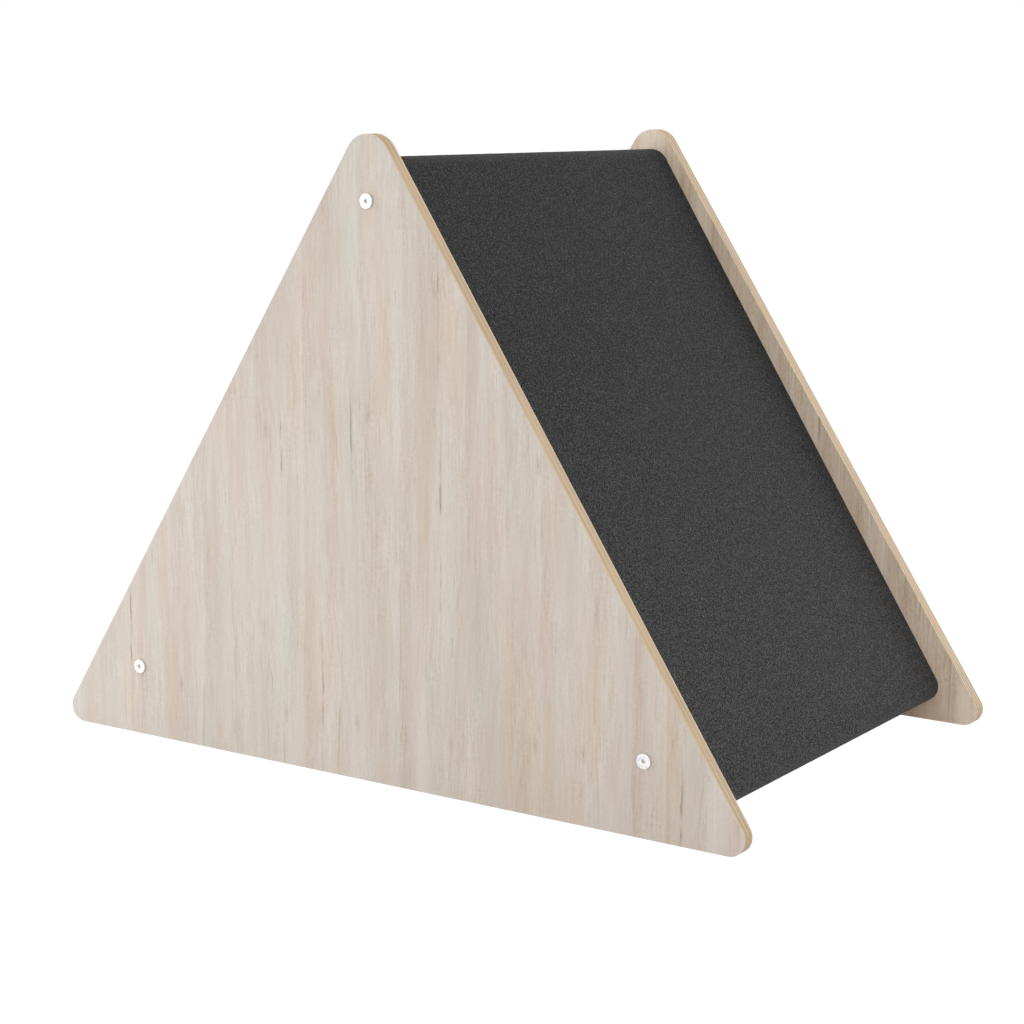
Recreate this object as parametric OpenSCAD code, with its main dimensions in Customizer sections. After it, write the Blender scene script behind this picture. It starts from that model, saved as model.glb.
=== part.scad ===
// Toddler slide: a low triangular prism. Two upright laminated plywood panels are bolted to a
// ridge beam and two foot rails, and a carpet cover is stretched over the plywood decks between them.
// X runs along the base, Y from the front panel to the rear one, Z up. The origin is on the floor,
// at the middle of the base. Millimetres.

/* [Side panels] */
// Length of the panel's base, measured to its corners before they are rounded
panel_base = 990; // [900:5:1100]
// Height of the panel's top corner before it is rounded
panel_height = 756; // [720:2:800]
// Thickness of a side panel with a laminate on each face
panel_thickness = 18; // [15:0.5:24]
// Thickness of one laminate sheet
laminate_thickness = 0.8; // [0.6:0.1:1.2]
// Radius of the panel's top corner
panel_top_radius = 31; // [20:1:40]
// Radius of the panel's two bottom corners
panel_foot_radius = 19; // [12:1:26]
// Distance between the outer faces of the two side panels
overall_depth = 622; // [500:2:760]

/* [Carpet cover] */
// Angle of the covered slope from the floor
slope_angle = 57.9; // [57:0.1:59]
// Distance from the origin to the carpet's sloping face, square to it
slope_distance = 387.5; // [380:0.5:392]
// Height of the carpet's lowest face above the floor
cover_clearance = 24; // [18:1:30]
// Thickness of the carpet
carpet_thickness = 4; // [3:0.5:5]
// Radius of the carpet round the ridge
cover_ridge_radius = 27; // [23:1:31]
// Radius of the carpet round each foot
cover_foot_radius = 20; // [16:1:24]
// Width of the flat hem that is stapled under each foot rail
hem_width = 27; // [22:1:29]

/* [Frame inside] */
// Thickness of the plywood decks under the carpet
deck_thickness = 12; // [9:1:15]
// Thickness of the foot rails, square to the slope
rail_thickness = 44; // [38:1:48]
// How far a foot rail reaches up the slope above its bolt
rail_above_bolt = 53; // [46:1:70]
// Width of the flat on top of the ridge beam
ridge_flat = 10; // [6:1:16]
// Height of the ridge beam
ridge_beam_height = 63; // [58:1:70]
// Width of the battens under a deck's sides
batten_width = 40; // [30:2:60]
// Depth of the battens, square to the slope
batten_depth = 30; // [24:1:36]

/* [Fasteners] */
// Height of the top bolt
top_bolt_height = 658; // [652:1:662]
// How far the lower bolts lie down the slope from the foot of its square through the origin
foot_bolt_drop = 118.6; // [110:0.2:125]
// Diameter of a connector bolt's head
bolt_head_diameter = 17; // [14:0.5:19]
// Height of a connector bolt's head
bolt_head_height = 2.6; // [2:0.1:3.5]
// Diameter of a connector bolt's shank
bolt_diameter = 6; // [5:0.5:7]
// Length of a connector bolt under its head
bolt_length = 60; // [55:5:70]
// Diameter of the locating dowels
dowel_diameter = 8; // [6:1:8]
// Length of the locating dowels
dowel_length = 30; // [26:2:36]
// Staples along each hem
staple_count = 9; // [5:1:11]

/* [Hidden] */
$fn = 64;
cut = 1;            // how far a cutting tool passes the face it cuts
reach = 2000;       // longer than the whole object
loose = 0.05;       // gap all round a fastener in its hole
hair = 0.002;       // how far an outline's straight sides run inside its corner circles

// Colours
laminate_colour = [0.82, 0.79, 0.74];
plywood_colour = [0.81, 0.71, 0.59];
pine_colour = [0.86, 0.74, 0.56];
beech_colour = [0.80, 0.62, 0.44];
carpet_colour = [0.23, 0.23, 0.23];
nickel_colour = [0.92, 0.92, 0.92];
zinc_colour = [0.70, 0.71, 0.72];

// Side panels
panel_angle = atan2(panel_height, panel_base / 2);
panel_distance = panel_base / 2 * sin(panel_angle);
face_y = overall_depth / 2;                      // outer face of the rear panel
inner_y = face_y - panel_thickness;              // its inner face, where the rails end
bolt_hole_radius = bolt_diameter / 2 + 0.3;
bolt_hole_spare = 3;                             // from a bolt's tip to the end of its hole

// Decks, rails and beam lie at these distances from the origin, square to the slope
deck_distance = slope_distance - carpet_thickness;
rail_distance = deck_distance - deck_thickness;
rail_inner_distance = rail_distance - rail_thickness;
rail_middle_distance = rail_distance - rail_thickness / 2;
ridge_top = (rail_distance - ridge_flat / 2 * sin(slope_angle)) / cos(slope_angle);
ridge_bottom = ridge_top - ridge_beam_height;
rail_top_along = rail_above_bolt - foot_bolt_drop;
body_gap = 0.2;                                  // between the cover's edges and the panels
deck_gap = 0.5;                                  // between the decks' edges and the panels
batten_gap = 1;                                  // between the battens and the panels
batten_top_gap = 8;                              // between a batten and the ridge beam
batten_top_along = along_slope(ridge_bottom, rail_distance) - batten_top_gap;

// Connector bolts, barrel nuts and dowels
head_chamfer = 0.4;
socket_width = 4;                                // across the hexagon's flats
socket_depth = 1.9;
nut_diameter = 10;
nut_length = 16;
nut_slot = [1.6, 1.2];                           // width and depth of its screwdriver slot
nut_inset = 32;                                  // from the panel's inner face to the nut's axis
dowel_in_panel = 10;
dowel_spacing = 32;                              // from a rail's bolt to each of its dowels
ridge_dowel_spread = 22;
ridge_dowel_drop = 16;

// Deck screws and staples
screw_length = 30;
screw_radius = 2;
screw_head_radius = 4;
screw_head_height = 2.6;
screw_point = 4;
screw_rows = [-230, -77, 77, 230];               // across the deck
batten_screw_fractions = [0.15, 0.5, 0.85];      // along a batten
staple_crown = 11;
staple_leg = 10;
staple_wire = [1.2, 0.7];
staple_pitch = 65;

// Height along the slope, from the foot of its square, of a point at height z and this distance
function along_slope(z, distance) = (z - distance * cos(slope_angle)) / sin(slope_angle);
// Where the slope at this distance meets height z
function slope_x(z, distance) = (distance - z * cos(slope_angle)) / sin(slope_angle);
// A point this far from the origin square to the slope, and this far along it
function on_slope(distance, along) = [
    distance * sin(slope_angle) - along * cos(slope_angle),
    distance * cos(slope_angle) + along * sin(slope_angle)
];
function flip(p) = [-p[0], p[1]];

foot_bolt = on_slope(rail_middle_distance, -foot_bolt_drop);
BOLTS = [[0, top_bolt_height], foot_bolt, flip(foot_bolt)];
foot_dowels = [
    for (side = [-1, 1]) on_slope(rail_middle_distance, side * dowel_spacing - foot_bolt_drop)
];
ridge_dowels = [
    for (side = [-1, 1]) [side * ridge_dowel_spread, top_bolt_height - ridge_dowel_drop]
];
DOWELS = concat(ridge_dowels, foot_dowels, [for (p = foot_dowels) flip(p)]);
staple_x = slope_foot_x() - hem_width / 2;

// Middle of the foot's arc, where the flat hem begins
function slope_foot_x() = slope_x(cover_clearance + cover_foot_radius,
    slope_distance - cover_foot_radius);

// Triangle standing on a flat base, with its sides at this distance and angle and round corners.
// The sides cross the corners' circles instead of only touching them.
module rounded_triangle(angle, distance, base_z, top_radius, foot_radius) {
    foot_z = base_z + foot_radius;
    foot_x = (distance - foot_radius - foot_z * cos(angle)) / sin(angle);
    top_z = (distance - top_radius) / cos(angle);
    out = [sin(angle), cos(angle)];
    foot_touch = [foot_x, foot_z] + (foot_radius - hair) * out;
    top_touch = [0, top_z] + (top_radius - hair) * out;
    polygon([
        [foot_x, base_z], foot_touch, top_touch, flip(top_touch), flip(foot_touch),
        [-foot_x, base_z]
    ]);
    translate([0, top_z]) circle(top_radius);
    for (side = [-1, 1]) translate([side * foot_x, foot_z]) circle(foot_radius);
}

module panel_outline() {
    rounded_triangle(panel_angle, panel_distance, 0, panel_top_radius, panel_foot_radius);
}

// Outline of the body between the panels, this far under the face of the carpet
module body_outline(under) {
    rounded_triangle(slope_angle, slope_distance - under, cover_clearance + under,
        cover_ridge_radius - under, cover_foot_radius - under);
}

// Band parallel to the right-hand slope, between two distances and two places along it
module slope_band(near, far, low, high) {
    rotate(90 - slope_angle) translate([near, low]) square([far - near, high - low]);
}

// Stands an outline drawn in X and Z upright, from one depth to another
module upright(from_y, to_y) {
    translate([0, to_y, 0]) rotate([90, 0, 0]) linear_extrude(to_y - from_y) children();
}

// Round hole or pin along Y at a point in X and Z
module across(p, from_y, to_y, radius) {
    translate([p[0], to_y, p[1]]) rotate([90, 0, 0]) cylinder(h = to_y - from_y, r = radius);
}

// Places a child with its Z axis square to the right-hand slope, pointing out
module square_to_slope(distance, along, y) {
    p = on_slope(distance, along);
    translate([p[0], y, p[1]]) rotate([0, slope_angle, 0]) children();
}

// Copies a child from the rear to the front, or from the right to the left
module front() { mirror([0, 1, 0]) children(); }
module left() { mirror([1, 0, 0]) children(); }

// Side panel: the rear one, from its inner laminate outwards

module panel_sheet(from_y, to_y) {
    difference() {
        upright(from_y, to_y) panel_outline();
        for (p = BOLTS) across(p, from_y - cut, to_y + cut, bolt_hole_radius);
    }
}

module side_panel() {
    color(plywood_colour) difference() {
        panel_sheet(inner_y + laminate_thickness, face_y - laminate_thickness);
        dowel_holes();
    }
}

module laminate_outer() {
    color(laminate_colour) panel_sheet(face_y - laminate_thickness, face_y);
}

module laminate_inner() {
    color(laminate_colour) difference() {
        panel_sheet(inner_y, inner_y + laminate_thickness);
        dowel_holes();
    }
}

module dowel_holes() {
    for (p = DOWELS)
        across(p, inner_y - cut, inner_y + dowel_in_panel + loose, dowel_diameter / 2 + loose);
}

// Holes in the end of a beam or rail for one bolt and its dowels, at the rear end
module end_holes(bolt, dowels) {
    across(bolt, face_y - bolt_length - bolt_hole_spare, inner_y + cut, bolt_hole_radius);
    for (p = dowels)
        across(p, inner_y - dowel_length + dowel_in_panel - loose, inner_y + cut,
            dowel_diameter / 2 + loose);
}

// Hole from the beam's or rail's inside for a barrel nut, at the rear end
module ridge_nut_hole() {
    depth = top_bolt_height + nut_length / 2 - ridge_bottom;
    translate([0, inner_y - nut_inset, ridge_bottom - cut])
        cylinder(h = depth + cut + loose, r = nut_diameter / 2 + loose);
}

module foot_nut_hole() {
    square_to_slope(rail_inner_distance - cut, -foot_bolt_drop, inner_y - nut_inset)
        cylinder(h = rail_thickness / 2 + nut_length / 2 + cut + loose, r = nut_diameter / 2 + loose);
}

// Frame between the panels

module ridge_beam() {
    color(pine_colour) difference() {
        upright(-inner_y, inner_y) polygon([
            for (p = [[1, ridge_top], [1, ridge_bottom], [-1, ridge_bottom], [-1, ridge_top]])
                [p[0] * slope_x(p[1], rail_distance), p[1]]
        ]);
        for (end = [0, 1]) mirror([0, end, 0]) {
            end_holes(BOLTS[0], ridge_dowels);
            ridge_nut_hole();
        }
        for (side = [0, 1]) mirror([side, 0, 0]) ridge_screws();
    }
}

// The right-hand foot rail, rounded over with the deck above it
module foot_rail() {
    color(pine_colour) difference() {
        upright(-inner_y, inner_y) intersection() {
            body_outline(carpet_thickness);
            slope_band(rail_inner_distance, rail_distance, -reach, rail_top_along);
        }
        for (end = [0, 1]) mirror([0, end, 0]) {
            end_holes(foot_bolt, foot_dowels);
            foot_nut_hole();
        }
        foot_screws();
        staples();
    }
}

// The right-hand deck, from the ridge's middle to the foot
module slope_deck() {
    color(plywood_colour) difference() {
        upright(deck_gap - inner_y, inner_y - deck_gap) intersection() {
            body_outline(carpet_thickness);
            slope_band(rail_distance, deck_distance + cut, -reach, reach);
            square([reach, reach]);
        }
        deck_screws();
    }
}

// The batten under the rear side of the right-hand deck
module deck_batten() {
    rear_y = inner_y - batten_gap;
    color(pine_colour) difference() {
        upright(rear_y - batten_width, rear_y)
            slope_band(rail_distance - batten_depth, rail_distance, rail_top_along, batten_top_along);
        batten_screws();
    }
}

// Carpet: one strip over both decks, turned under each foot

module carpet_cover() {
    color(carpet_colour) difference() {
        upright(body_gap - inner_y, inner_y - body_gap) difference() {
            body_outline(0);
            body_outline(carpet_thickness);
            translate([hem_width - slope_foot_x(), 0])
                square([2 * (slope_foot_x() - hem_width), cover_clearance + carpet_thickness + cut]);
        }
        staples();
        left() staples();
    }
}

// Fasteners

// Bolt along Z, with the underside of its head at the origin
module connector_bolt() {
    head = bolt_head_diameter / 2;
    shank = bolt_diameter / 2;
    tip = 1;
    difference() {
        rotate_extrude() polygon([
            [0, bolt_head_height], [head - head_chamfer, bolt_head_height],
            [head, bolt_head_height - head_chamfer], [head, 0], [shank, 0],
            [shank, tip - bolt_length], [shank - tip, -bolt_length], [0, -bolt_length]
        ]);
        translate([0, 0, bolt_head_height - socket_depth])
            cylinder(h = socket_depth + cut, r = socket_width / sqrt(3), $fn = 6);
    }
}

module connector_bolts() {
    color(nickel_colour)
        for (p = BOLTS) translate([p[0], face_y, p[1]]) rotate([-90, 0, 0]) connector_bolt();
}

// Barrel nut along Z, centred, with its bolt hole along Y
module barrel_nut() {
    difference() {
        cylinder(h = nut_length, r = nut_diameter / 2, center = true);
        rotate([90, 0, 0])
            cylinder(h = nut_diameter + 2 * cut, r = bolt_diameter / 2 + loose, center = true);
        translate([0, 0, -nut_length / 2])
            cube([nut_slot[0], nut_diameter + cut, 2 * nut_slot[1]], center = true);
    }
}

module barrel_nuts() {
    nut_y = inner_y - nut_inset;
    color(zinc_colour) {
        translate([0, nut_y, top_bolt_height]) barrel_nut();
        for (side = [0, 1]) mirror([side, 0, 0])
            square_to_slope(rail_middle_distance, -foot_bolt_drop, nut_y) barrel_nut();
    }
}

module locating_dowels() {
    color(beech_colour)
        for (p = DOWELS)
            across(p, inner_y - dowel_length + dowel_in_panel, inner_y + dowel_in_panel,
                dowel_diameter / 2);
}

// Countersunk screw along Z with the top of its head at the origin
module deck_screw() {
    rotate_extrude() polygon([
        [0, 0], [screw_head_radius, 0], [screw_radius, -screw_head_height],
        [screw_radius, screw_point - screw_length], [0, -screw_length]
    ]);
}

module ridge_screws() {
    along = (along_slope(ridge_top, rail_distance) + along_slope(ridge_bottom, rail_distance)) / 2;
    for (y = screw_rows) square_to_slope(deck_distance, along, y) deck_screw();
}

module foot_screws() {
    for (y = screw_rows) square_to_slope(deck_distance, -foot_bolt_drop, y) deck_screw();
}

module batten_screws() {
    for (end = [-1, 1], part = batten_screw_fractions)
        square_to_slope(deck_distance, rail_top_along + part * (batten_top_along - rail_top_along),
            end * (inner_y - batten_gap - batten_width / 2)) deck_screw();
}

module deck_screws() {
    color(zinc_colour) {
        ridge_screws();
        foot_screws();
        batten_screws();
    }
}

// Staples up through the right-hand hem, each a crown and two legs
module staples() {
    crown_z = cover_clearance - staple_wire[1];
    color(zinc_colour)
        for (i = [0 : staple_count - 1])
            translate([staple_x, (i - (staple_count - 1) / 2) * staple_pitch, crown_z])
                rotate([90, 0, 90]) linear_extrude(staple_wire[0], center = true) difference() {
                    translate([-staple_crown / 2, 0]) square([staple_crown, staple_leg]);
                    translate([staple_wire[1] - staple_crown / 2, staple_wire[1]])
                        square([staple_crown - 2 * staple_wire[1], staple_leg]);
                }
}

front() side_panel();  // side_panel_front
side_panel();  // side_panel_rear
front() laminate_outer();  // laminate_front_outer
front() laminate_inner();  // laminate_front_inner
laminate_inner();  // laminate_rear_inner
laminate_outer();  // laminate_rear_outer
ridge_beam();
left() foot_rail();  // foot_rail_left
foot_rail();  // foot_rail_right
left() slope_deck();  // slope_deck_left
slope_deck();  // slope_deck_right
left() front() deck_batten();  // deck_batten_left_front
left() deck_batten();  // deck_batten_left_rear
front() deck_batten();  // deck_batten_right_front
deck_batten();  // deck_batten_right_rear
carpet_cover();
front() connector_bolts();  // connector_bolts_front
connector_bolts();  // connector_bolts_rear
front() barrel_nuts();  // barrel_nuts_front
barrel_nuts();  // barrel_nuts_rear
front() locating_dowels();  // locating_dowels_front
locating_dowels();  // locating_dowels_rear
left() deck_screws();  // deck_screws_left
deck_screws();  // deck_screws_right
left() staples();  // hem_staples_left
staples();  // hem_staples_right
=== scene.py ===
"""The toddler slide's looks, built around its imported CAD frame.

Metres, with +Z up and the floor at z = 0. Texture scales are in units a metre."""

import math
import random

import bmesh
import bpy
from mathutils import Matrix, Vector, noise


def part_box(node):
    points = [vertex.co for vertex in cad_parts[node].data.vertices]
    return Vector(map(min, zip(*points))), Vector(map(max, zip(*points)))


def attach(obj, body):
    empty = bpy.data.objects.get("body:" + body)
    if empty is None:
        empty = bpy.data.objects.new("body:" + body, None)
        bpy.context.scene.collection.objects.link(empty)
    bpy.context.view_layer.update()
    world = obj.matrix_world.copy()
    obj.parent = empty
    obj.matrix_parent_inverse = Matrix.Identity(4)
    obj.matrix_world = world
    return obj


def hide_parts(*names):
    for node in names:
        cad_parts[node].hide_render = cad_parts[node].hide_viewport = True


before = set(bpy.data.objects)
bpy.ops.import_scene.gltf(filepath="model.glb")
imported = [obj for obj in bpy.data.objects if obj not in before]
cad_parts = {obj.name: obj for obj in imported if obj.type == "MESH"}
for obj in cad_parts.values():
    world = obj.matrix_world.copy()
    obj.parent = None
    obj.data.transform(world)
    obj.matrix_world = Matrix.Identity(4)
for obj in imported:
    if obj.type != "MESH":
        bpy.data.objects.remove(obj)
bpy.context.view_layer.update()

MM = 0.001
BODY = "root"

# Corner radii of the side panels and of the carpeted body between them
PANEL_FOOT_RADIUS = 19 * MM
PANEL_TOP_RADIUS = 31 * MM
COVER_FOOT_RADIUS = 20 * MM
COVER_RIDGE_RADIUS = 27 * MM

# Boards, and how far their long edges are rounded
DECK_THICKNESS = 12 * MM
PLIES = 5
LAMINATE_ARRIS = 0.4 * MM
SOFTWOOD_ARRIS = 0.8 * MM
DECK_ARRIS = 0.5 * MM

# Carpet cover, with nine staples along each hem
CARPET_THICKNESS = 4 * MM
CARPET_PITCH = 5 * MM    # between its mesh's rows
HEM_WIDTH = 27 * MM
HEM_SWELL = 0.5 * MM    # halfway between two staples
HEM_RISE = 1 * MM    # the face swells only where it is less than this above its lowest
STAPLE_GAPS = 8
STAPLE_CROWN = 11 * MM
UNEVEN = 0.12 * MM    # how far the face rises and falls
UNEVEN_SCALE = 70
# How far from a cut edge, and how far below the face there
CARPET_EDGE = ((0.0, 0.45 * MM), (0.4 * MM, 0.15 * MM), (1.2 * MM, 0.0))

# Connector bolts
BOLT_HEAD_RADIUS = 8.5 * MM
BOLT_HEAD_HEIGHT = 2.6 * MM
BOLT_HEAD_FILLET = 0.45 * MM
BOLT_RADIUS = 3 * MM
BOLT_LENGTH = 60 * MM
BOLT_HOLE_RADIUS = 3.3 * MM
CHAMFER = 0.15 * MM    # under the head
TIP_CHAMFER = 0.8 * MM
SOCKET_WIDTH = 4 * MM
SOCKET_DEPTH = 1.9 * MM
SOCKET_FLARE = 0.35 * MM    # how much wider its mouth is
SOCKET_LEAD_IN = 0.2 * MM    # how deep the flare goes
DRILL_POINT = 0.3 * MM    # below the socket's floor
THREAD_START = 24 * MM    # below the head
THREAD_PITCH = 1 * MM
THREAD_DEPTH = 0.5 * MM
BOLT_STEPS = 64    # round it
FILLET_STEPS = 5

# Locating dowels
DOWEL_RADIUS = 4 * MM
DOWEL_HOLE_RADIUS = 4.05 * MM
DOWEL_HOLE_DEPTH = 9.25 * MM    # in the plywood
RIDGE_DOWEL_SPREAD = 22 * MM

# Lights: each one's name, place, diameter in metres and power in watts, aimed at one point
LIGHTS = (
    ("key", (-1.1, -1.2, 0.35), 0.8, 3),
    ("back", (1.6, 4.2, 0.9), 4.0, 120),
    ("inside", (0, 0, 0.002), 0.45, 0.6),
)
LIT = Vector((0, 0, 0.3))

# Camera
CAMERA_PLACE = (1.5142, -2.2504, 0.7570)
CAMERA_YAW = math.radians(34.298)
CAMERA_PITCH = math.radians(10.239)
CAMERA_LENS = 78.5


# ---------------------------------------------------------------- outlines


def arc(centre, radius, start, end, steps):
    """Points along an arc, each with the direction that it faces."""
    turns = [start + (end - start) * i / steps for i in range(steps + 1)]
    return [(centre + radius * Vector((math.cos(t), math.sin(t))), t) for t in turns]


def straight(start, end, pitch):
    """Points from the start to just before the end, about this far apart."""
    steps = max(1, round((end - start).length / pitch))
    return [start.lerp(end, i / steps) for i in range(steps)]


class Wedge:
    """Triangle with round corners on a flat base: the outline of a side panel or of the body."""

    CORNER_STEPS = 28

    def __init__(self, box, foot_radius, top_radius):
        low, high = box
        self.base, self.foot_radius, self.top_radius = low.z, foot_radius, top_radius
        self.foot = Vector((high.x - foot_radius, low.z + foot_radius))
        self.top = Vector((0, high.z - top_radius))
        # The side is the tangent of both corner circles, which gives its angle from the floor
        across, down = self.foot.x, self.foot.y - self.top.y
        self.angle = math.asin((top_radius - foot_radius) / math.hypot(across, down))
        self.angle -= math.atan2(down, across)

    def corner(self, place, radius, start, end):
        return [p for p, _ in arc(place, radius, start, end, self.CORNER_STEPS)]

    def outline(self, inset=0.0):
        """Points anticlockwise in X and Z, the same number at every inset."""
        side = math.pi / 2 - self.angle
        foot, top = self.foot_radius - inset, self.top_radius - inset
        right = self.corner(self.foot, foot, -math.pi / 2, side)
        crown = self.corner(self.top, top, side, math.pi - side)
        left = [Vector((-p.x, p.y)) for p in reversed(right)]
        return right + crown + left

    def distance(self):
        """From the origin to the sloping side, square to it."""
        out = Vector((math.sin(self.angle), math.cos(self.angle)))
        return self.foot.dot(out) + self.foot_radius


HOLE_STEPS = 40


def circle(centre, radius, steps=HOLE_STEPS):
    """Points anticlockwise round a centre."""
    return [
        Vector((
            centre[0] + radius * math.cos(math.tau * i / steps),
            centre[1] + radius * math.sin(math.tau * i / steps),
        ))
        for i in range(steps)
    ]


# ---------------------------------------------------------------- meshes

SHARP = math.radians(40)    # edges that turn by more than this are not shaded smooth
ARRIS_STEPS = 4


def ring(mesh, points, y):
    """New vertices at these points in X and Z, all at one depth."""
    return [mesh.verts.new((p[0], y, p[1])) for p in points]


def skin(mesh, first, second, smooth=True):
    """Quads between two rings with the same number of points."""
    for i, vert in enumerate(first):
        after = (i + 1) % len(first)
        face = mesh.faces.new((vert, first[after], second[after], second[i]))
        face.smooth = smooth


def ring_edges(mesh, verts):
    return [mesh.edges.get((v, verts[(i + 1) % len(verts)])) for i, v in enumerate(verts)]


def fill(mesh, rings):
    """Flat cap over the first ring, with the others as holes in it."""
    edges = [edge for verts in rings for edge in ring_edges(mesh, verts)]
    bmesh.ops.triangle_fill(mesh, edges=edges, use_beauty=True)


def finish_piece(mesh, name, material):
    """Makes an object of the mesh, which rides on the body and is given this material."""
    bmesh.ops.recalc_face_normals(mesh, faces=mesh.faces)
    data = bpy.data.meshes.new(name)
    smooth = [face.smooth for face in mesh.faces]
    mesh.to_mesh(data)
    mesh.free()
    # A copied CAD mesh brings normals that no longer suit its faces
    stale = data.attributes.get("custom_normal")
    if stale:
        data.attributes.remove(stale)
    data.set_sharp_from_angle(angle=SHARP)
    data.polygons.foreach_set("use_smooth", smooth)
    data.materials.append(material)
    piece = bpy.data.objects.new(name, data)
    bpy.context.scene.collection.objects.link(piece)
    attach(piece, BODY)
    return piece


def plate(wedge, y, holes, arris=(0.0, 0.0)):
    """Board between two depths. A hole is its centre, its radius and the depth it goes to from
    the first face, or None if it goes through. An arris is the rounding of one face's edge."""
    mesh = bmesh.new()
    way = math.copysign(1, y[1] - y[0])

    def edge(start, way, radius):
        """Depths and insets from a face to the board's side."""
        steps = ARRIS_STEPS if radius else 0
        turns = [math.pi / 2 * i / steps for i in range(steps)] + [math.pi / 2]
        return [
            (start + way * radius * (1 - math.cos(t)), radius * (1 - math.sin(t))) for t in turns
        ]

    levels = edge(y[0], way, arris[0]) + edge(y[1], -way, arris[1])[::-1]
    rings = [ring(mesh, wedge.outline(inset), depth) for depth, inset in levels]
    for first, second in zip(rings, rings[1:]):
        skin(mesh, first, second)
    near, far = [rings[0]], [rings[-1]]
    for centre, radius, depth in holes:
        mouth = ring(mesh, circle(centre, radius), y[0])
        end = ring(mesh, circle(centre, radius), y[1] if depth is None else depth)
        skin(mesh, mouth, end)
        near.append(mouth)
        if depth is None:
            far.append(end)
        else:
            fill(mesh, [end])
    fill(mesh, near)
    fill(mesh, far)
    return mesh


# ---------------------------------------------------------------- materials


def srgb(red, green, blue):
    """Linear colour from 8-bit display values."""
    def linear(value):
        value /= 255
        return value / 12.92 if value <= 0.04045 else ((value + 0.055) / 1.055) ** 2.4
    return (linear(red), linear(green), linear(blue), 1.0)


class Graph:
    """A new material, with short calls for the nodes that this scene uses."""

    def __init__(self, name, **shader):
        self.material = bpy.data.materials.new(name)
        self.material.use_nodes = True
        tree = self.material.node_tree
        self.nodes, self.links = tree.nodes, tree.links
        self.shader = next(n for n in self.nodes if n.type == "BSDF_PRINCIPLED")
        for key, value in shader.items():
            self.feed(self.shader.inputs[key.replace("_", " ")], value)

    def feed(self, socket, value):
        if isinstance(value, bpy.types.NodeSocket):
            self.links.new(value, socket)
        else:
            socket.default_value = value

    def node(self, kind, inputs=(), **settings):
        made = self.nodes.new("ShaderNode" + kind)
        for key, value in settings.items():
            setattr(made, key, value)
        for key, value in dict(inputs).items():
            self.feed(made.inputs[key], value)
        return made

    def place(self):
        return self.node("TexCoord").outputs["Object"]

    def stretch(self, vector, scale, shift=(0, 0, 0), turn=(0, 0, 0)):
        inputs = {"Vector": vector, "Scale": scale, "Location": shift, "Rotation": turn}
        return self.node("Mapping", inputs).outputs[0]

    def noise(self, vector, detail=2, roughness=0.5, distortion=0.0):
        inputs = {
            "Vector": vector, "Scale": 1, "Detail": detail,
            "Roughness": roughness, "Distortion": distortion,
        }
        return self.node("TexNoise", inputs).outputs[0]

    def math(self, operation, *values):
        made = self.node("Math", operation=operation)
        for socket, value in zip(made.inputs, values):
            self.feed(socket, value)
        return made.outputs[0]

    def add(self, *values):
        total = values[0]
        for value in values[1:]:
            total = self.math("ADD", total, value)
        return total

    def swing(self, value, amount):
        """A noise from 0 to 1, made to swing this far either side of 0."""
        return self.math("MULTIPLY", self.math("SUBTRACT", value, 0.5), 2 * amount)

    def smooth(self, value, low, high, start=0.0, end=1.0):
        """A smooth step: start below low, end above high."""
        made = self.node("MapRange", interpolation_type="SMOOTHSTEP")
        for key, number in zip((0, 1, 2, 3, 4), (value, low, high, start, end)):
            self.feed(made.inputs[key], number)
        return made.outputs[0]

    def split(self, vector):
        return self.node("SeparateXYZ", {0: vector}).outputs

    def grid(self, x, z, across, along, seed=0.0):
        """Texture place for grain: so many units a metre across it and along it."""
        x = self.math("MULTIPLY_ADD", x, across, seed)
        z = self.math("MULTIPLY_ADD", z, along, seed)
        return self.node("CombineXYZ", {0: x, 1: z}).outputs[0]

    def ramp(self, value, stops):
        made = self.node("ValToRGB", {0: value})
        ends = made.color_ramp.elements
        for i, (position, colour) in enumerate(stops):
            stop = ends[i] if i < len(ends) else ends.new(position)
            stop.position, stop.color = position, colour
        return made.outputs[0]

    def mix(self, share, under, over, blend="MIX"):
        made = self.node("Mix", {0: share, 6: under, 7: over}, data_type="RGBA", blend_type=blend)
        return made.outputs[2]

    def bump(self, height, strength, distance):
        inputs = {"Height": height, "Strength": strength, "Distance": distance}
        made = self.node("Bump", inputs)
        self.feed(self.shader.inputs["Normal"], made.outputs[0])


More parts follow.
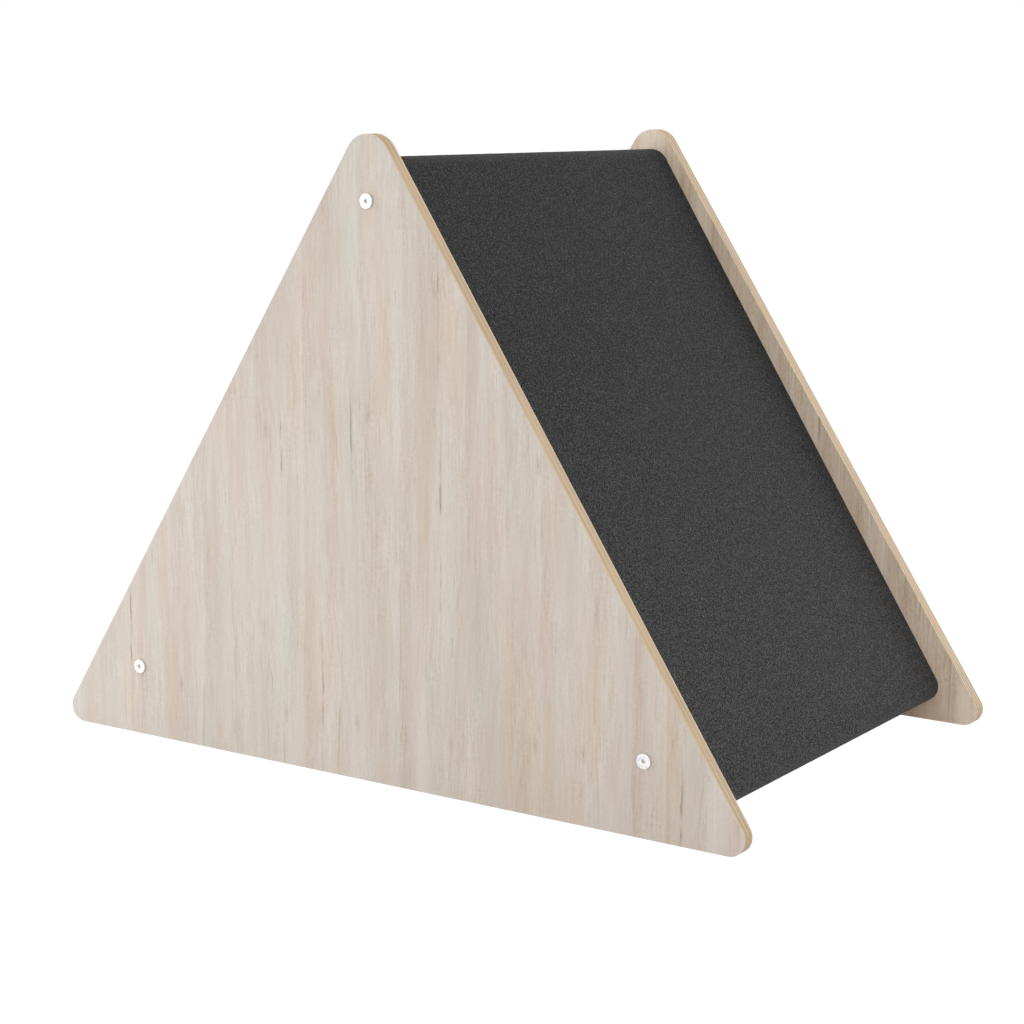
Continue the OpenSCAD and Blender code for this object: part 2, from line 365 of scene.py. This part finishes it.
def laminate(name, shift, tint, contrast):
    """Pale wood-look laminate with its grain upright. The shift picks another stretch of it, the
    tint multiplies its colour, and the contrast is how strong its grain is."""
    g = Graph(name, Specular_IOR_Level=0.35)
    x, _, z = g.split(g.stretch(g.place(), (1, 1, 1), shift))
    # The grain wanders sideways by a few millimetres
    wander = g.noise(g.grid(x, z, 4, 1.3), 2, 0.5)
    waver = g.noise(g.grid(x, z, 28, 7), 2, 0.5)
    x = g.add(x, g.swing(wander, 0.010), g.swing(waver, 0.0015))

    drift = g.noise(g.grid(x, z, 1.5, 0.7, 33.7), 1, 0.5)
    clouds = g.noise(g.grid(x, z, 7, 2.4), 2, 0.5)
    bands = g.noise(g.grid(x, z, 30, 1.8), 4, 0.66)
    fibres = g.noise(g.grid(x, z, 430, 24, 5), 4, 0.75)
    patches = g.smooth(g.noise(g.grid(x, z, 30, 9, 8), 2, 0.5), 0.35, 0.65)
    ripple = g.noise(g.grid(x, z, 300, 230, 3), 3, 0.75)
    layer, edge = layers(g, x, z)
    grain = g.add(
        g.swing(drift, 0.22), g.swing(clouds, 0.12), g.swing(bands, 0.52), layer,
        g.math("MULTIPLY", g.swing(fibres, 0.54), g.math("MULTIPLY_ADD", patches, 0.7, 0.5)),
        g.math("MULTIPLY", g.swing(ripple, 0.26), g.math("MULTIPLY_ADD", patches, 0.8, 0.6)),
    )
    tone = g.math("MULTIPLY_ADD", grain, contrast, 0.5)
    colour = g.ramp(tone, [
        (0.0, srgb(185, 166, 147)), (0.32, srgb(202, 189, 176)),
        (0.60, srgb(212, 203, 193)), (1.0, srgb(223, 217, 209)),
    ])
    # Some stretches are browner, some greener and some pinker
    hue = g.noise(g.grid(x, z, 30, 2.5, 11), 3, 0.6)
    colour = g.mix(g.smooth(hue, 0.50, 0.68), colour, (1.0, 0.96, 0.908, 1), "MULTIPLY")
    colour = g.mix(g.smooth(hue, 0.50, 0.34), colour, (0.975, 1.0, 0.995, 1), "MULTIPLY")
    blush = g.noise(g.grid(x, z, 45, 4, 17), 2, 0.6)
    colour = g.mix(g.smooth(blush, 0.50, 0.66), colour, (1.0, 0.98, 0.99, 1), "MULTIPLY")

    colour = g.mix(g.math("MULTIPLY", edge, 0.35), colour, srgb(140, 124, 108))
    marks, halos = cracks(g, x, z, (9, 2.2), 0.75, 0.45)
    colour = g.mix(g.math("MULTIPLY", halos, 0.5), colour, srgb(146, 126, 106))
    colour = g.mix(g.math("MULTIPLY", marks, 0.5), colour, srgb(98, 86, 72))
    flecks, _ = cracks(g, x, z, (38, 12), 0.35, 0.3, 4)
    colour = g.mix(g.math("MULTIPLY", flecks, 0.4), colour, srgb(118, 104, 92))
    spots = knots(g, x, z)
    colour = g.mix(g.math("MULTIPLY", spots, 0.3), colour, srgb(130, 112, 98))
    g.feed(g.shader.inputs["Base Color"], g.mix(1.0, colour, tint, "MULTIPLY"))
    rough = g.smooth(g.add(tone, g.swing(fibres, 0.3)), 0, 1, 0.56, 0.44)
    g.feed(g.shader.inputs["Roughness"], rough)
    g.bump(g.add(fibres, ripple, g.math("MULTIPLY", marks, -2)), 0.12, 0.0003)
    return g.material


def layers(g, x, z):
    """Growth layers, each fading from one side to the other: their shade, and their sharp edges.
    They are 50 mm wide on average, and a slow noise spreads and crowds them."""
    slow = g.noise(g.grid(x, z, 9, 0.6, 2), 1, 0.4)
    wobble = g.noise(g.grid(x, z, 60, 12, 9), 2, 0.6)
    step = g.add(g.math("MULTIPLY", x, 20), g.swing(slow, 1.0), g.swing(wobble, 0.06))
    step = g.math("FRACT", step)
    strong = g.smooth(g.noise(g.grid(x, z, 16, 2.5, 6), 2, 0.5), 0.40, 0.65)
    rise = g.smooth(step, 0, 0.08)
    shade = g.math("MULTIPLY", g.math("MULTIPLY", g.swing(step, 0.08), rise), g.add(0.3, strong))
    edge = g.math("MULTIPLY", g.smooth(step, 0.0, 0.05, 1, 0), g.smooth(step, 0.0, 0.008))
    broken = g.smooth(g.noise(g.grid(x, z, 30, 7, 13), 2, 0.5), 0.42, 0.62)
    return shade, g.math("MULTIPLY", g.math("MULTIPLY", edge, strong), broken)


def cracks(g, x, z, density, share, width, seed=0.0):
    """Thin upright cracks, one to some of the cells of a grid, and the stain down one side of
    each. Density is cells a metre along X and Z, share is how many cells have one, and width is
    its half width in millimetres where it gapes."""
    cell_x, cell_z = density
    place = g.grid(x, z, cell_x, cell_z, seed)
    cells = g.node("TexVoronoi", {"Vector": place, "Scale": 1}, voronoi_dimensions="2D")
    centre = g.split(cells.outputs["Position"])
    here = g.split(place)
    red, green, _ = g.split(cells.outputs["Color"])
    aside = g.math("DIVIDE", g.math("SUBTRACT", here[0], centre[0]), cell_x)
    wobble = g.noise(g.grid(red, z, 90, 45), 3, 0.6)
    aside = g.add(aside, g.swing(wobble, 0.0022))
    along = g.math("ABSOLUTE", g.math("DIVIDE", g.math("SUBTRACT", here[1], centre[1]), cell_z))
    # From 0 in its middle to 1 at its ends
    part = g.math("DIVIDE", along, g.math("MULTIPLY", g.add(green, 0.3), 0.40 / cell_z))
    torn = g.smooth(g.noise(g.grid(green, z, 90, 14 + cell_z), 2, 0.6), 0.44, 0.60)
    gape = g.math("MULTIPLY", g.smooth(part, 0.3, 0.8, 1, 0), torn)
    half = g.math("MULTIPLY_ADD", gape, 1.6 * width * MM, 1.0 * width * MM)
    line = g.smooth(g.math("DIVIDE", g.math("ABSOLUTE", aside), half), 0, 1, 1, 0)
    ends = g.smooth(part, 0.6, 1.0, 1, 0)
    faint = g.math("MULTIPLY", ends, g.math("MULTIPLY_ADD", gape, 0.5, 0.4))
    chosen = g.math("LESS_THAN", red, share)
    stain = g.math("MULTIPLY", g.smooth(aside, 0, 8 * width * MM, 1, 0), g.smooth(aside, -0.001, 0))
    return (
        g.math("MULTIPLY", g.math("MULTIPLY", line, faint), chosen),
        g.math("MULTIPLY", g.math("MULTIPLY", stain, gape), chosen),
    )


def knots(g, x, z):
    """A few soft dark spots, longer upright than across."""
    cell_x, cell_z = 9, 6
    place = g.grid(x, z, cell_x, cell_z)
    cells = g.node("TexVoronoi", {"Vector": place, "Scale": 1}, voronoi_dimensions="2D")
    centre = g.split(cells.outputs["Position"])
    here = g.split(place)
    chance = g.split(cells.outputs["Color"])[1]
    aside = g.math("DIVIDE", g.math("SUBTRACT", here[0], centre[0]), cell_x * 0.0035)
    along = g.math("DIVIDE", g.math("SUBTRACT", here[1], centre[1]), cell_z * 0.011)
    far = g.math("SQRT", g.add(g.math("MULTIPLY", aside, aside), g.math("MULTIPLY", along, along)))
    rings = g.math("SINE", g.math("MULTIPLY", far, 9))
    rings = g.add(0.75, g.math("MULTIPLY", rings, 0.25))
    spot = g.math("MULTIPLY", g.smooth(far, 0, 1.6, 1, 0), rings)
    return g.math("MULTIPLY", spot, g.math("LESS_THAN", chance, 0.3))


def plywood(name, first, across, face_grain):
    """Birch plywood. Across gives (g, place) -> how far through the board, from 0 to 1. The first
    ply shows long grain if it is 0, and end grain if it is 1."""
    g = Graph(name, Specular_IOR_Level=0.15)
    place = g.place()
    waver = g.noise(g.stretch(place, (25, 25, 25)), 2, 0.5)
    depth = g.add(across(g, place), g.swing(waver, 0.02))
    layer = g.math("MULTIPLY_ADD", depth, PLIES, first)
    parity = g.math("MODULO", g.math("FLOOR", layer), 2)
    seam = g.math("ABSOLUTE", g.math("SUBTRACT", g.math("FRACT", layer), 0.5))
    seam = g.smooth(seam, 0.42, 0.5, 0, 1)

    long_grain = g.noise(g.stretch(place, face_grain), 3, 0.65)
    end_grain = g.noise(g.stretch(place, (900, 900, 900)), 2, 0.7)
    tone = g.noise(g.stretch(place, (6, 300, 6)), 2, 0.5)
    light = g.ramp(g.add(0.5, g.swing(long_grain, 0.5), g.swing(tone, 0.3)), [
        (0.15, srgb(178, 148, 112)), (0.5, srgb(195, 170, 136)), (0.9, srgb(208, 186, 156)),
    ])
    dark = g.ramp(g.add(0.5, g.swing(end_grain, 0.45), g.swing(tone, 0.25)), [
        (0.15, srgb(145, 125, 101)), (0.5, srgb(170, 152, 128)), (0.9, srgb(186, 170, 147)),
    ])
    faded = g.smooth(g.noise(g.stretch(place, (9, 9, 9)), 2, 0.6), 0.38, 0.62, 1.0, 0.45)
    colour = g.mix(g.math("MULTIPLY", parity, faded), light, dark)
    colour = g.mix(g.math("MULTIPLY", seam, 0.4), colour, srgb(128, 102, 75))
    g.feed(g.shader.inputs["Base Color"], colour)
    g.feed(g.shader.inputs["Roughness"], g.smooth(end_grain, 0.2, 0.8, 0.5, 0.7))
    g.bump(g.add(end_grain, g.math("MULTIPLY", seam, -1)), 0.25, 0.0002)
    return g.material


def panel_plywood(name, first):
    """A side panel's core: its plies are seen edge on."""
    low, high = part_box("side_panel_rear")

    def across(g, place):
        depth = g.math("ABSOLUTE", g.split(place)[1])
        return g.math("DIVIDE", g.math("SUBTRACT", depth, low.y), high.y - low.y)

    return plywood(name, first, across, (14, 1500, 14))


def deck_plywood(angle, inner_face):
    """The decks: their inner faces show veneer, and their edges show plies. The inner face is at
    this distance from the origin, square to the slope."""
    def across(g, place):
        x, _, z = g.split(place)
        x = g.math("ABSOLUTE", x)
        distance = g.add(
            g.math("MULTIPLY", x, math.sin(angle)), g.math("MULTIPLY", z, math.cos(angle))
        )
        return g.math("DIVIDE", g.math("SUBTRACT", distance, inner_face), DECK_THICKNESS)

    return plywood("deck_plywood", 0, across, (60, 400, 60))


def pine(name, along):
    """Planed pine with its grain along Y, or along the slope, from the rings of a trunk."""
    g = Graph(name, Specular_IOR_Level=0.3)
    place = g.stretch(g.place(), (1, 1, 1), turn=along)
    warp = g.noise(g.stretch(place, (6, 1.2, 6)), 2, 0.5)
    x, _, z = g.split(place)
    across = g.add(x, 0.06, g.swing(warp, 0.02))
    upright = g.add(z, 0.03, g.swing(warp, 0.014))
    far = g.math("SQRT", g.add(
        g.math("MULTIPLY", across, across), g.math("MULTIPLY", upright, upright)
    ))
    year = g.math("FRACT", g.math("MULTIPLY", far, 260))
    late = g.smooth(year, 0.45, 0.95, 0, 1)
    fibres = g.noise(g.stretch(place, (900, 25, 900)), 3, 0.6)
    tone = g.add(g.math("MULTIPLY", late, 0.6), g.swing(fibres, 0.25), 0.15)
    colour = g.ramp(tone, [
        (0.0, srgb(232, 208, 168)), (0.5, srgb(219, 188, 142)), (1.0, srgb(190, 148, 100)),
    ])
    g.feed(g.shader.inputs["Base Color"], colour)
    g.feed(g.shader.inputs["Roughness"], g.smooth(late, 0, 1, 0.62, 0.5))
    g.bump(g.add(late, fibres), 0.15, 0.0003)
    return g.material


def beech():
    """Turned beech, with short dark flecks along it."""
    g = Graph("beech", Specular_IOR_Level=0.3)
    place = g.place()
    grain = g.noise(g.stretch(place, (700, 30, 700)), 3, 0.6)
    flecks = g.noise(g.stretch(place, (1400, 260, 1400)), 1, 0.5)
    colour = g.ramp(grain, [(0.3, srgb(186, 146, 108)), (0.7, srgb(214, 178, 140))])
    colour = g.mix(g.smooth(flecks, 0.62, 0.7, 0, 0.5), colour, srgb(140, 98, 66))
    g.feed(g.shader.inputs["Base Color"], colour)
    g.feed(g.shader.inputs["Roughness"], g.smooth(grain, 0.3, 0.7, 0.6, 0.5))
    g.bump(grain, 0.2, 0.0002)
    return g.material


def carpet():
    """Charcoal needle-felt: matted fibres, each a little lighter or darker, with lint and grit
    towards the foot, where it is also made lighter as painted light.
    """
    g = Graph("carpet", Sheen_Weight=0.2, Sheen_Roughness=0.45, Specular_IOR_Level=0.12)
    g.shader.inputs["Sheen Tint"].default_value = srgb(170, 170, 172)
    place = g.place()
    fibres = g.noise(g.stretch(place, (800, 800, 800)), 2, 0.75, 0.5)
    matted = g.noise(g.stretch(place, (400, 400, 400)), 2, 0.6, 0.6)
    worn = g.noise(g.stretch(place, (9, 9, 9)), 3, 0.5)
    # Painted light: this mask makes the felt lighter towards the foot; it also brings out the lint
    # speckle there
    foot_light_and_lint = g.smooth(g.add(g.split(place)[2], g.swing(worn, 0.10)), 0.05, 0.62, 1, 0)
    tone = g.add(
        0.36, g.swing(fibres, 2.0), g.swing(matted, 1.0), g.swing(worn, 0.06),
        g.math("MULTIPLY", foot_light_and_lint, 0.28),
    )
    colour = g.ramp(tone, [
        (0.0, srgb(13, 13, 14)), (0.5, srgb(37, 37, 38)), (1.0, srgb(75, 74, 73)),
    ])
    # Trodden towards the foot, where lint and grit stand out from the pile
    lint = g.noise(g.stretch(place, (900, 900, 900), (3, 1, 2)), 1, 0.6)
    lint = g.ramp(lint, [(0.38, (0.2, 0.2, 0.2, 1)), (0.62, (1.8, 1.8, 1.8, 1))])
    colour = g.mix(foot_light_and_lint, colour, lint, "MULTIPLY")
    g.feed(g.shader.inputs["Base Color"], colour)
    g.feed(g.shader.inputs["Roughness"], g.smooth(fibres, 0.2, 0.8, 0.98, 0.86))
    g.bump(g.add(fibres, matted), 0.8, 0.0010)
    return g.material


def metal(name, tint, dull, shine, lines):
    """Plated steel: lines are how many scratches a metre run across it each way."""
    g = Graph(name, Metallic=1.0)
    place = g.place()
    clouds = g.noise(g.stretch(place, (420, 420, 420)), 3, 0.8)
    scratches = g.noise(g.stretch(place, lines), 2, 0.6)
    colour = g.mix(g.smooth(clouds, 0.38, 0.62, 0, 1), tint, dull)
    # Painted shade: the colour is darkened toward grey in the socket and other recesses, where
    # ambient occlusion finds them
    recess_shade = g.node("AmbientOcclusion", {"Distance": 4 * MM}, samples=8).outputs["AO"]
    colour = g.mix(g.smooth(recess_shade, 0.35, 0.95, 0.25, 0), colour, srgb(120, 118, 116))
    g.feed(g.shader.inputs["Base Color"], colour)
    rough = g.add(shine, g.swing(clouds, 0.08), g.swing(scratches, 0.06))
    g.feed(g.shader.inputs["Roughness"], rough)
    g.bump(scratches, 0.08, 0.00005)
    return g.material


# ---------------------------------------------------------------- the side panels

panel = Wedge(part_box("side_panel_front"), PANEL_FOOT_RADIUS, PANEL_TOP_RADIUS)
cover = Wedge(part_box("carpet_cover"), COVER_FOOT_RADIUS, COVER_RIDGE_RADIUS)


def bolt_centres():
    """Centres of the three bolts of a side, from their node's box."""
    low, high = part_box("connector_bolts_front")
    radius = BOLT_HEAD_RADIUS
    top = (0.0, high.z - radius)
    return [top] + [(side * (high.x - radius), low.z + radius) for side in (1, -1)]


def dowel_centres():
    """Centres of the six dowels of a side: two under the ridge, and one either side of each foot
    bolt."""
    low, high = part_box("locating_dowels_front")
    _, foot, _ = bolt_centres()
    outer = Vector((high.x - DOWEL_RADIUS, low.z + DOWEL_RADIUS))
    inner = 2 * Vector(foot) - outer
    top = high.z - DOWEL_RADIUS
    feet = [(side * p.x, p.y) for side in (1, -1) for p in (outer, inner)]
    return feet + [(side * RIDGE_DOWEL_SPREAD, top) for side in (1, -1)]


BOLTS = bolt_centres()
DOWELS = dowel_centres()
# Each sheet is cut from another stretch of the laminate. The inner ones have bolder grain, and
# their tint is browner as painted warm shade, set for the shaded inner faces. The rear outer one's
# tint is darker as painted shade, to offset the back light on that side.
PALE, WARM_SHADE_TINT, BACK_LIGHT_SHADE_TINT = (1.0, 1.0, 1.0, 1.0), (1.21, 1.11, 0.99, 1.0), (0.86, 0.86, 0.87, 1.0)
LAMINATES = {
    "laminate_front_outer": ((0.31, 0, 0.12), PALE, 1.0),
    "laminate_front_inner": ((2.7, 0, 1.9), WARM_SHADE_TINT, 1.7),
    "laminate_rear_inner": ((5.2, 0, 0.7), WARM_SHADE_TINT, 1.7),
    "laminate_rear_outer": ((8.1, 0, 3.3), BACK_LIGHT_SHADE_TINT, 1.3),
}


def faces_of(node):
    """A board's depths at the face towards the body and at the face away from it."""
    low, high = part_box(node)
    return (low.y, high.y) if low.y > 0 else (high.y, low.y)


def side_panel(node, material):
    """The plywood core, with blind dowel holes in its inner face."""
    inner, outer = faces_of(node)
    blind = inner + math.copysign(DOWEL_HOLE_DEPTH, inner)
    holes = [(p, BOLT_HOLE_RADIUS, None) for p in BOLTS]
    holes += [(p, DOWEL_HOLE_RADIUS, blind) for p in DOWELS]
    piece = finish_piece(plate(panel, (inner, outer), holes), node + "_core", material)
    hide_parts(node)


def laminate_sheet(node):
    """One laminate sheet. Its free edge is slightly rounded."""
    inner, outer = faces_of(node)
    holes = [(p, BOLT_HOLE_RADIUS, None) for p in BOLTS]
    arris = (0.0, LAMINATE_ARRIS)
    if node.endswith("inner"):
        holes += [(p, DOWEL_HOLE_RADIUS, None) for p in DOWELS]
        arris = (LAMINATE_ARRIS, 0.0)
    material = laminate(node, *LAMINATES[node])
    sheet = plate(panel, (inner, outer), holes, arris)
    piece = finish_piece(sheet, node + "_sheet", material)
    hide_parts(node)


# ---------------------------------------------------------------- the carpet

FOOT_STEPS = 18
RIDGE_STEPS = 7    # from where the slope ends to the middle of the ridge
EVEN_HEM = 4 * MM    # from a hem's edge to where its rows are evenly spaced


def cover_path():
    """The carpet's outer face from hem to hem: each point with its outward direction."""
    down, out, up = -math.pi / 2, math.pi / 2 - cover.angle, math.pi / 2
    foot = arc(cover.foot, COVER_FOOT_RADIUS, down, out, FOOT_STEPS)
    ridge = arc(cover.top, COVER_RIDGE_RADIUS, out, up, RIDGE_STEPS)
    hem = foot[0][0]
    inner = hem - Vector((HEM_WIDTH, 0))
    path = [(inner + Vector((d, 0)), down) for d, _ in CARPET_EDGE]
    path += [(p, down) for p in straight(inner + Vector((EVEN_HEM, 0)), hem, CARPET_PITCH)]
    path += foot
    path += [(p, out) for p in straight(foot[-1][0], ridge[0][0], CARPET_PITCH)[1:]]
    path += ridge[:-1]
    mirrored = [(Vector((-p.x, p.y)), math.pi - turn) for p, turn in reversed(path)]
    return path + ridge[-1:] + mirrored


def hem_bulge(p, y, staples):
    """How far the hem swells between its staples, under the foot rails."""
    low, high = staples
    if p.y > cover.base + HEM_RISE:
        return 0.0
    pitch = (high.y - low.y - STAPLE_CROWN) / STAPLE_GAPS
    place = (y - (low.y + STAPLE_CROWN / 2)) / pitch
    return HEM_SWELL * (1 - math.cos(math.tau * place)) / 2


def carpet_cover(material):
    """The cover: a closed felt strip with a slightly uneven outer face and softened cut edges."""
    low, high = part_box("carpet_cover")
    margin = CARPET_EDGE[-1][0]
    middle = high.y - low.y - 2 * margin
    steps = round(middle / CARPET_PITCH)
    across = [(low.y + d, drop) for d, drop in CARPET_EDGE[:-1]]
    across += [(low.y + margin + middle / steps * i, 0.0) for i in range(steps + 1)]
    across += [(high.y - d, drop) for d, drop in reversed(CARPET_EDGE[:-1])]
    path = cover_path()
    drops = [drop for _, drop in CARPET_EDGE]
    last = len(path) - 1
    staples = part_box("hem_staples_right")
    mesh = bmesh.new()
    outer, inner = [], []
    for i, (p, turn) in enumerate(path):
        away = Vector((math.cos(turn), math.sin(turn)))
        from_end = min(i, last - i)
        end_drop = drops[from_end] if from_end < len(drops) else 0.0
        top_row, under_row = [], []
        for y, drop in across:
            rise = noise.fractal(Vector((p.x, y, p.y)) * UNEVEN_SCALE, 0.9, 2.1, 3)
            out = UNEVEN * (rise - 1) - max(drop, end_drop) + hem_bulge(p, y, staples)
            q = p + away * out
            top_row.append(mesh.verts.new((q.x, y, q.y)))
            q = p - away * CARPET_THICKNESS
            under_row.append(mesh.verts.new((q.x, y, q.y)))
        outer.append(top_row)
        inner.append(under_row)

    def quads(first, second):
        for a in range(len(first) - 1):
            face = mesh.faces.new((first[a], first[a + 1], second[a + 1], second[a]))
            face.smooth = True

    for rows in (outer, inner):
        for first, second in zip(rows, rows[1:]):
            quads(first, second)
    quads(outer[0], inner[0])
    quads(outer[-1], inner[-1])
    for end in (0, -1):
        quads([row[end] for row in outer], [row[end] for row in inner])
    piece = finish_piece(mesh, "carpet_felt", material)
    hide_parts("carpet_cover")


# ---------------------------------------------------------------- the bolts


def bolt(mesh, centre, face_y, turn):
    """Connector bolt through a panel's outer face, with a hex socket turned by this angle."""
    out = math.copysign(1, face_y)

    def level(points, height):
        return ring(mesh, [(centre[0] + p[0], centre[1] + p[1]) for p in points],
                    face_y + out * height)

    def hexagon(width):
        return [
            (width / math.sqrt(3) * math.cos(turn + math.tau * i / 6),
             width / math.sqrt(3) * math.sin(turn + math.tau * i / 6))
            for i in range(6)
        ]

    def round_level(radius, height):
        return level(circle((0, 0), radius, BOLT_STEPS), height)

    top, fillet = BOLT_HEAD_HEIGHT, BOLT_HEAD_FILLET
    socket = [
        level(hexagon(SOCKET_WIDTH + SOCKET_FLARE), top),
        level(hexagon(SOCKET_WIDTH), top - SOCKET_LEAD_IN),
        level(hexagon(SOCKET_WIDTH), top - SOCKET_DEPTH),
    ]
    for first, second in zip(socket, socket[1:]):
        skin(mesh, first, second, smooth=False)
    point = face_y + out * (top - SOCKET_DEPTH - DRILL_POINT)
    tip = mesh.verts.new((centre[0], point, centre[1]))
    for i, vert in enumerate(socket[-1]):
        mesh.faces.new((vert, socket[-1][(i + 1) % 6], tip))
    rings = [
        round_level(BOLT_HEAD_RADIUS - fillet * (1 - math.sin(a)), top - fillet * (1 - math.cos(a)))
        for a in (math.pi / 2 * i / FILLET_STEPS for i in range(FILLET_STEPS + 1))
    ]
    rings.append(round_level(BOLT_HEAD_RADIUS, CHAMFER))
    rings.append(round_level(BOLT_HEAD_RADIUS - CHAMFER, 0))
    rings.append(round_level(BOLT_RADIUS, 0))
    rings.append(round_level(BOLT_RADIUS, -THREAD_START))
    for i in range(round((BOLT_LENGTH - THREAD_START) / THREAD_PITCH) - 1):
        depth = THREAD_START + THREAD_PITCH * (i + 0.5)
        rings.append(round_level(BOLT_RADIUS - THREAD_DEPTH, -depth))
        rings.append(round_level(BOLT_RADIUS, -depth - THREAD_PITCH / 2))
    rings.append(round_level(BOLT_RADIUS - TIP_CHAMFER, -BOLT_LENGTH))
    for first, second in zip(rings, rings[1:]):
        skin(mesh, first, second)
    fill(mesh, [rings[0], socket[0]])
    fill(mesh, [rings[-1]])


def connector_bolts(node, face_y, material, draw):
    """A side's three bolts, each turned as the driver left it."""
    mesh = bmesh.new()
    for centre in BOLTS:
        bolt(mesh, centre, face_y, draw.uniform(0, math.tau))
    piece = finish_piece(mesh, node + "_plated", material)
    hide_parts(node)


# ---------------------------------------------------------------- the pieces inside

SAME_POINT = 0.001 * MM    # closer points of a CAD mesh are welded
SAME_FLAT = math.radians(0.2)    # faces that turn by less than this are one flat face
LONG_EDGE = 10 * MM    # longer sharp edges are rounded
NARROW = 3 * MM    # a curve's strips have less area than this times their outline


def dress(node, material, slot, arris=0.0):
    """A clean copy of a CAD node in this material, with its long sharp edges rounded."""
    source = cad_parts[node]
    mesh = bmesh.new()
    mesh.from_mesh(source.data)
    mesh.transform(source.matrix_world)
    bmesh.ops.remove_doubles(mesh, verts=mesh.verts, dist=SAME_POINT)
    bmesh.ops.dissolve_degenerate(mesh, edges=mesh.edges, dist=SAME_POINT)
    if arris:
        bmesh.ops.dissolve_limit(
            mesh, angle_limit=SAME_FLAT, verts=mesh.verts, edges=mesh.edges
        )
        bmesh.ops.recalc_face_normals(mesh, faces=mesh.faces)
        for face in mesh.faces:
            face.smooth = face.calc_area() < NARROW * face.calc_perimeter()
        edges = [
            edge for edge in mesh.edges
            if edge.calc_face_angle() > SHARP and edge.calc_length() > LONG_EDGE
        ]
        rounded = bmesh.ops.bevel(
            mesh, geom=edges, offset=arris, segments=3, profile=0.5, affect="EDGES"
        )
        for face in rounded["faces"]:
            face.smooth = True
        bmesh.ops.dissolve_degenerate(mesh, edges=mesh.edges, dist=SAME_POINT)
    bmesh.ops.triangulate(mesh, faces=mesh.faces)
    piece = finish_piece(mesh, f"{node}_{slot}", material)
    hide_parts(node)


# ---------------------------------------------------------------- stage

FLOOR_RADIUS = 40
GROUND_DEPTH = 1 * MM    # of the floor that gives light, under the one that is seen


def disc(name, height, material):
    """A wide round floor at this height."""
    mesh = bmesh.new()
    bmesh.ops.create_circle(mesh, cap_ends=True, segments=96, radius=FLOOR_RADIUS)
    data = bpy.data.meshes.new(name)
    mesh.to_mesh(data)
    mesh.free()
    data.materials.append(material)
    made = bpy.data.objects.new(name, data)
    made.location.z = height
    bpy.context.scene.collection.objects.link(made)
    return made


def stage():
    """An even white sky, a white floor and three soft lights. The floor that is seen gives no
    light: a pale floor just under it does, and the object shades that one."""
    scene = bpy.context.scene
    scene.view_settings.view_transform = "Standard"
    scene.view_settings.look = "None"

    world = bpy.data.worlds.new("studio")
    world.use_nodes = True
    sky = next(n for n in world.node_tree.nodes if n.type == "BACKGROUND")
    sky.inputs["Color"].default_value = (1, 1, 1, 1)
    sky.inputs["Strength"].default_value = 1.0
    scene.world = world

    white = Graph("floor", Base_Color=(0, 0, 0, 1), Roughness=1.0, Specular_IOR_Level=0.0)
    white.feed(white.shader.inputs["Emission Color"], (1, 1, 1, 1))
    white.feed(white.shader.inputs["Emission Strength"], 1.05)
    # Seen from below, it is clear
    clear = white.node("BsdfTransparent")
    under = white.node("NewGeometry").outputs["Backfacing"]
    both = white.node("MixShader", {0: under, 1: white.shader.outputs[0], 2: clear.outputs[0]})
    output = next(n for n in white.nodes if n.type == "OUTPUT_MATERIAL")
    white.feed(output.inputs["Surface"], both.outputs[0])
    floor = disc("floor", 0.0, white.material)
    floor.visible_diffuse = floor.visible_shadow = False

    pale = Graph("ground", Base_Color=(0.75, 0.75, 0.75, 1), Roughness=1.0)
    disc("ground", -GROUND_DEPTH, pale.material).visible_camera = False

    for name, place, size, energy in LIGHTS:
        lamp = bpy.data.lights.new(name, "AREA")
        lamp.shape, lamp.size, lamp.energy = "DISK", size, energy
        light = bpy.data.objects.new(name, lamp)
        light.location = place
        light.rotation_euler = (LIT - light.location).to_track_quat("-Z", "Y").to_euler()
        scene.collection.objects.link(light)


def camera():
    """The photo's view."""
    lens = bpy.data.cameras.new("camera")
    lens.lens, lens.sensor_width = CAMERA_LENS, 36
    eye = bpy.data.objects.new("camera", lens)
    eye.location = CAMERA_PLACE
    eye.rotation_euler = (math.pi / 2 - CAMERA_PITCH, 0, CAMERA_YAW)
    bpy.context.scene.collection.objects.link(eye)
    bpy.context.scene.camera = eye


# ---------------------------------------------------------------- assembly

camera()
stage()

for first, name in enumerate(("side_panel_front", "side_panel_rear")):
    side_panel(name, panel_plywood(name, first))
for name in LAMINATES:
    laminate_sheet(name)
carpet_cover(carpet())

nickel = metal("nickel", srgb(248, 247, 246), srgb(216, 215, 213), 0.5, (2500, 60, 300))
zinc = metal("zinc", srgb(212, 214, 216), srgb(186, 190, 194), 0.34, (900, 900, 900))
draw = random.Random(4)
connector_bolts("connector_bolts_front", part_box("laminate_front_outer")[0].y, nickel, draw)
connector_bolts("connector_bolts_rear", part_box("laminate_rear_outer")[1].y, nickel, draw)

beam_wood = pine("pine_beam", (0, 0, 0))
for name in ("ridge_beam", "foot_rail_left", "foot_rail_right"):
    dress(name, beam_wood, "softwood", SOFTWOOD_ARRIS)
deck_wood = deck_plywood(cover.angle, cover.distance() - CARPET_THICKNESS - DECK_THICKNESS)
for side, way in (("left", 1), ("right", -1)):
    wood = pine("pine_batten_" + side, (way * (math.pi / 2 - cover.angle), 0, 0))
    for end in ("front", "rear"):
        dress(f"deck_batten_{side}_{end}", wood, "softwood", SOFTWOOD_ARRIS)
    dress("slope_deck_" + side, deck_wood, "plywood", DECK_ARRIS)
    dress("deck_screws_" + side, zinc, "zinc")
    dress("hem_staples_" + side, zinc, "zinc")
dowel_wood = beech()
for end in ("front", "rear"):
    dress("barrel_nuts_" + end, zinc, "zinc")
    dress("locating_dowels_" + end, dowel_wood, "beech")
